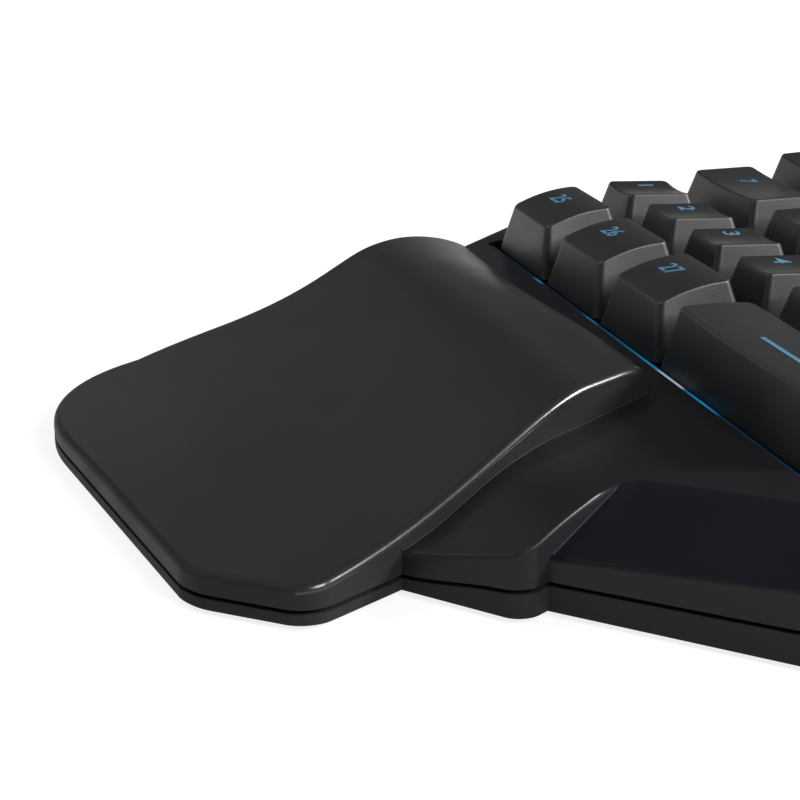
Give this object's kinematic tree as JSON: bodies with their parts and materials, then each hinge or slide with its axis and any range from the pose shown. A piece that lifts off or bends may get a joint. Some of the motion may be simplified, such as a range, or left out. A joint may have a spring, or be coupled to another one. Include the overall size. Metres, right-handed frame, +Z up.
{
  "type": "gaming keypad",
  "caption": "One-handed keypad with a crowned palm rest, an angular wing and sprung keycaps over a backlit dome sheet.",
  "frame": {"origin": "on the desk, under the middle of the keypad", "axes": "+X to the user's right, +Y away from the user, +Z up"},
  "size_m": [0.1746, 0.2026, 0.0351],
  "materials": {
    "upper_case": "satin black moulded plastic",
    "lower_case": "matt black moulded plastic",
    "keycaps": "matt black keycap plastic with blue printed marks",
    "feet": "black rubber",
    "inlet_rubber": "black rubber bush",
    "screws": "zinc plated steel",
    "wire": "drawn steel wire",
    "plate": "galvanised sheet steel",
    "frame_plastic": "black moulded plastic",
    "dome_rubber": "milky silicone rubber",
    "film": "clear film with printed tracks",
    "guide": "clear light guide",
    "blue_light": "translucent blue plastic, lit from behind",
    "led_strip": "white flexible strip with small lamps",
    "board": "green circuit board",
    "connector_plastic": "moulded connector and chip plastic"
  },
  "bodies": {
    "case": {"back_plate": "plate", "board_screw_1": "screws", "board_screw_2": "screws", "bottom_cover": "lower_case", "cable_header": "connector_plastic", "cable_inlet": "inlet_rubber", "case_screw_1": "screws", "case_screw_2": "screws", "case_screw_3": "screws", "case_screw_4": "screws", "case_screw_5": "screws", "case_screw_6": "screws", "controller_board": "board", "controller_chip": "connector_plastic", "dome_sheet": "dome_rubber", "foot_1": "feet", "foot_2": "feet", "foot_3": "feet", "foot_4": "feet", "frame_screw_1": "screws", "frame_screw_2": "screws", "frame_screw_3": "screws", "frame_screw_4": "screws", "key_frame": "frame_plastic", "led_strip": "led_strip", "light_bar": "blue_light", "light_guide": "guide", "membrane": "film", "tail_clamp": "connector_plastic", "top_cover": "upper_case"},
    "keycap_bottom_1": {"keycap_bottom_1": "keycaps"},
    "keycap_bottom_2": {"keycap_bottom_2": "keycaps"},
    "keycap_bottom_3": {"keycap_bottom_3": "keycaps"},
    "space_key": {"space_key": "keycaps"},
    "keycap_lower_1": {"keycap_lower_1": "keycaps"},
    "keycap_lower_2": {"keycap_lower_2": "keycaps"},
    "keycap_lower_3": {"keycap_lower_3": "keycaps"},
    "keycap_lower_4": {"keycap_lower_4": "keycaps"},
    "keycap_lower_5": {"keycap_lower_5": "keycaps"},
    "keycap_lower_6": {"keycap_lower_6": "keycaps"},
    "keycap_home_1": {"keycap_home_1": "keycaps"},
    "keycap_home_2": {"keycap_home_2": "keycaps"},
    "keycap_home_3": {"keycap_home_3": "keycaps"},
    "keycap_home_4": {"keycap_home_4": "keycaps"},
    "keycap_home_5": {"keycap_home_5": "keycaps"},
    "keycap_home_6": {"keycap_home_6": "keycaps"},
    "keycap_upper_1": {"keycap_upper_1": "keycaps"},
    "keycap_upper_2": {"keycap_upper_2": "keycaps"},
    "keycap_upper_3": {"keycap_upper_3": "keycaps"},
    "keycap_upper_4": {"keycap_upper_4": "keycaps"},
    "keycap_upper_5": {"keycap_upper_5": "keycaps"},
    "keycap_upper_6": {"keycap_upper_6": "keycaps"},
    "keycap_number_1": {"keycap_number_1": "keycaps"},
    "keycap_number_2": {"keycap_number_2": "keycaps"},
    "keycap_number_3": {"keycap_number_3": "keycaps"},
    "keycap_number_4": {"keycap_number_4": "keycaps"},
    "keycap_number_5": {"keycap_number_5": "keycaps"},
    "keycap_number_6": {"keycap_number_6": "keycaps"},
    "space_wire": {"space_wire": "wire"}
  },
  "joints": [
    {"name": "keycap_bottom_1_press", "type": "slide", "parent": "case", "child": "keycap_bottom_1", "axis": [0, 0.061, -0.9981], "range_m": [0, 0.0035], "stiffness_N_per_m": 150, "springref_m": -0.001, "deforming": ["dome_sheet"]},
    {"name": "keycap_bottom_2_press", "type": "slide", "parent": "case", "child": "keycap_bottom_2", "axis": [0, 0.061, -0.9981], "range_m": [0, 0.0035], "stiffness_N_per_m": 150, "springref_m": -0.001, "deforming": ["dome_sheet"]},
    {"name": "keycap_bottom_3_press", "type": "slide", "parent": "case", "child": "keycap_bottom_3", "axis": [0, 0.061, -0.9981], "range_m": [0, 0.0035], "stiffness_N_per_m": 150, "springref_m": -0.001, "deforming": ["dome_sheet"]},
    {"name": "space_key_press", "type": "slide", "parent": "case", "child": "space_key", "axis": [0, 0.061, -0.9981], "range_m": [0, 0.0035], "stiffness_N_per_m": 150, "springref_m": -0.001, "deforming": ["dome_sheet"]},
    {"name": "keycap_lower_1_press", "type": "slide", "parent": "case", "child": "keycap_lower_1", "axis": [0, 0.061, -0.9981], "range_m": [0, 0.0035], "stiffness_N_per_m": 150, "springref_m": -0.001, "deforming": ["dome_sheet"]},
    {"name": "keycap_lower_2_press", "type": "slide", "parent": "case", "child": "keycap_lower_2", "axis": [0, 0.061, -0.9981], "range_m": [0, 0.0035], "stiffness_N_per_m": 150, "springref_m": -0.001, "deforming": ["dome_sheet"]},
    {"name": "keycap_lower_3_press", "type": "slide", "parent": "case", "child": "keycap_lower_3", "axis": [0, 0.061, -0.9981], "range_m": [0, 0.0035], "stiffness_N_per_m": 150, "springref_m": -0.001, "deforming": ["dome_sheet"]},
    {"name": "keycap_lower_4_press", "type": "slide", "parent": "case", "child": "keycap_lower_4", "axis": [0, 0.061, -0.9981], "range_m": [0, 0.0035], "stiffness_N_per_m": 150, "springref_m": -0.001, "deforming": ["dome_sheet"]},
    {"name": "keycap_lower_5_press", "type": "slide", "parent": "case", "child": "keycap_lower_5", "axis": [0, 0.061, -0.9981], "range_m": [0, 0.0035], "stiffness_N_per_m": 150, "springref_m": -0.001, "deforming": ["dome_sheet"]},
    {"name": "keycap_lower_6_press", "type": "slide", "parent": "case", "child": "keycap_lower_6", "axis": [0, 0.061, -0.9981], "range_m": [0, 0.0035], "stiffness_N_per_m": 150, "springref_m": -0.001, "deforming": ["dome_sheet"]},
    {"name": "keycap_home_1_press", "type": "slide", "parent": "case", "child": "keycap_home_1", "axis": [0, 0.061, -0.9981], "range_m": [0, 0.0035], "stiffness_N_per_m": 150, "springref_m": -0.001, "deforming": ["dome_sheet"]},
    {"name": "keycap_home_2_press", "type": "slide", "parent": "case", "child": "keycap_home_2", "axis": [0, 0.061, -0.9981], "range_m": [0, 0.0035], "stiffness_N_per_m": 150, "springref_m": -0.001, "deforming": ["dome_sheet"]},
    {"name": "keycap_home_3_press", "type": "slide", "parent": "case", "child": "keycap_home_3", "axis": [0, 0.061, -0.9981], "range_m": [0, 0.0035], "stiffness_N_per_m": 150, "springref_m": -0.001, "deforming": ["dome_sheet"]},
    {"name": "keycap_home_4_press", "type": "slide", "parent": "case", "child": "keycap_home_4", "axis": [0, 0.061, -0.9981], "range_m": [0, 0.0035], "stiffness_N_per_m": 150, "springref_m": -0.001, "deforming": ["dome_sheet"]},
    {"name": "keycap_home_5_press", "type": "slide", "parent": "case", "child": "keycap_home_5", "axis": [0, 0.061, -0.9981], "range_m": [0, 0.0035], "stiffness_N_per_m": 150, "springref_m": -0.001, "deforming": ["dome_sheet"]},
    {"name": "keycap_home_6_press", "type": "slide", "parent": "case", "child": "keycap_home_6", "axis": [0, 0.061, -0.9981], "range_m": [0, 0.0035], "stiffness_N_per_m": 150, "springref_m": -0.001, "deforming": ["dome_sheet"]},
    {"name": "keycap_upper_1_press", "type": "slide", "parent": "case", "child": "keycap_upper_1", "axis": [0, 0.061, -0.9981], "range_m": [0, 0.0035], "stiffness_N_per_m": 150, "springref_m": -0.001, "deforming": ["dome_sheet"]},
    {"name": "keycap_upper_2_press", "type": "slide", "parent": "case", "child": "keycap_upper_2", "axis": [0, 0.061, -0.9981], "range_m": [0, 0.0035], "stiffness_N_per_m": 150, "springref_m": -0.001, "deforming": ["dome_sheet"]},
    {"name": "keycap_upper_3_press", "type": "slide", "parent": "case", "child": "keycap_upper_3", "axis": [0, 0.061, -0.9981], "range_m": [0, 0.0035], "stiffness_N_per_m": 150, "springref_m": -0.001, "deforming": ["dome_sheet"]},
    {"name": "keycap_upper_4_press", "type": "slide", "parent": "case", "child": "keycap_upper_4", "axis": [0, 0.061, -0.9981], "range_m": [0, 0.0035], "stiffness_N_per_m": 150, "springref_m": -0.001, "deforming": ["dome_sheet"]},
    {"name": "keycap_upper_5_press", "type": "slide", "parent": "case", "child": "keycap_upper_5", "axis": [0, 0.061, -0.9981], "range_m": [0, 0.0035], "stiffness_N_per_m": 150, "springref_m": -0.001, "deforming": ["dome_sheet"]},
    {"name": "keycap_upper_6_press", "type": "slide", "parent": "case", "child": "keycap_upper_6", "axis": [0, 0.061, -0.9981], "range_m": [0, 0.0035], "stiffness_N_per_m": 150, "springref_m": -0.001, "deforming": ["dome_sheet"]},
    {"name": "keycap_number_1_press", "type": "slide", "parent": "case", "child": "keycap_number_1", "axis": [0, 0.061, -0.9981], "range_m": [0, 0.0035], "stiffness_N_per_m": 150, "springref_m": -0.001, "deforming": ["dome_sheet"]},
    {"name": "keycap_number_2_press", "type": "slide", "parent": "case", "child": "keycap_number_2", "axis": [0, 0.061, -0.9981], "range_m": [0, 0.0035], "stiffness_N_per_m": 150, "springref_m": -0.001, "deforming": ["dome_sheet"]},
    {"name": "keycap_number_3_press", "type": "slide", "parent": "case", "child": "keycap_number_3", "axis": [0, 0.061, -0.9981], "range_m": [0, 0.0035], "stiffness_N_per_m": 150, "springref_m": -0.001, "deforming": ["dome_sheet"]},
    {"name": "keycap_number_4_press", "type": "slide", "parent": "case", "child": "keycap_number_4", "axis": [0, 0.061, -0.9981], "range_m": [0, 0.0035], "stiffness_N_per_m": 150, "springref_m": -0.001, "deforming": ["dome_sheet"]},
    {"name": "keycap_number_5_press", "type": "slide", "parent": "case", "child": "keycap_number_5", "axis": [0, 0.061, -0.9981], "range_m": [0, 0.0035], "stiffness_N_per_m": 150, "springref_m": -0.001, "deforming": ["dome_sheet"]},
    {"name": "keycap_number_6_press", "type": "slide", "parent": "case", "child": "keycap_number_6", "axis": [0, 0.061, -0.9981], "range_m": [0, 0.0035], "stiffness_N_per_m": 150, "springref_m": -0.001, "deforming": ["dome_sheet"]},
    {"name": "space_wire_turn", "type": "hinge", "parent": "case", "child": "space_wire", "pos_m": [0.02955, -0.00128, 0.01323], "axis": [-1, 0, 0], "range_deg": [0, 23.64]}
  ],
  "couplings": [
    {"joint": "space_wire_turn", "follows": "space_key_press", "rad_per_m": 116.87}
  ]
}
